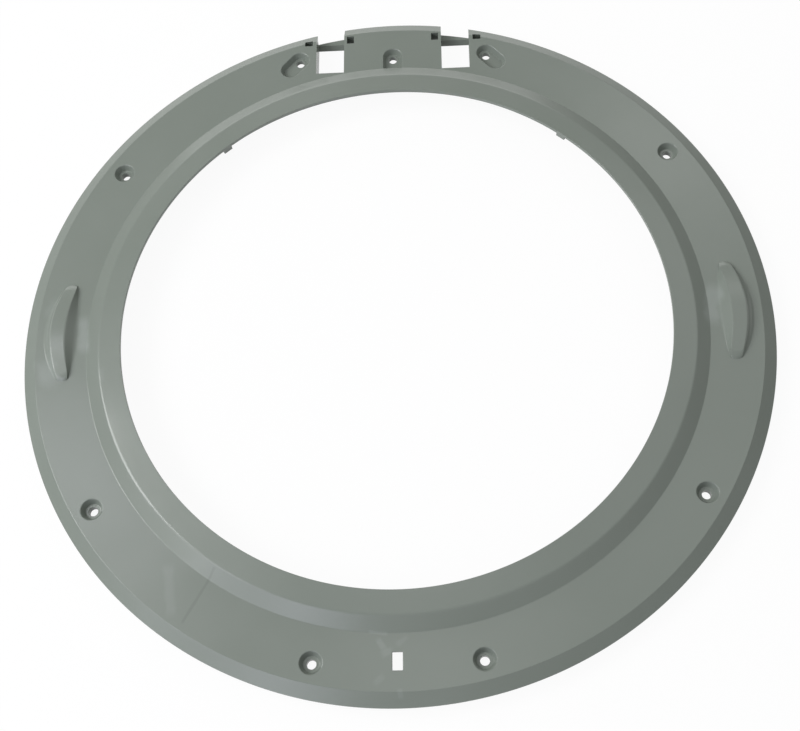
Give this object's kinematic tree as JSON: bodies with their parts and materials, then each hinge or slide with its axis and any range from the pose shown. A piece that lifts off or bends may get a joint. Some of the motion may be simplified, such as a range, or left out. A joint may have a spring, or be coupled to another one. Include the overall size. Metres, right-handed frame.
{
  "type": "washing machine door frame",
  "caption": "Moulded round inner frame of a front-loading washing machine door, a stepped ring with screw recesses, hinge notches and a latch slot.",
  "frame": {"origin": "on the ring's axis in the plane of the skirt's back edge, the plane it lies on", "axes": "+Z along the ring's axis towards the moulded face, +Y from the centre towards the hinge, +X to the right with the hinge at the top"},
  "size_m": [0.45, 0.4499, 0.0206],
  "materials": {
    "grey_plastic": "grey-green moulded plastic with a satin sheen"
  },
  "bodies": {
    "root": {"door_frame": "grey_plastic"}
  },
  "joints": []
}
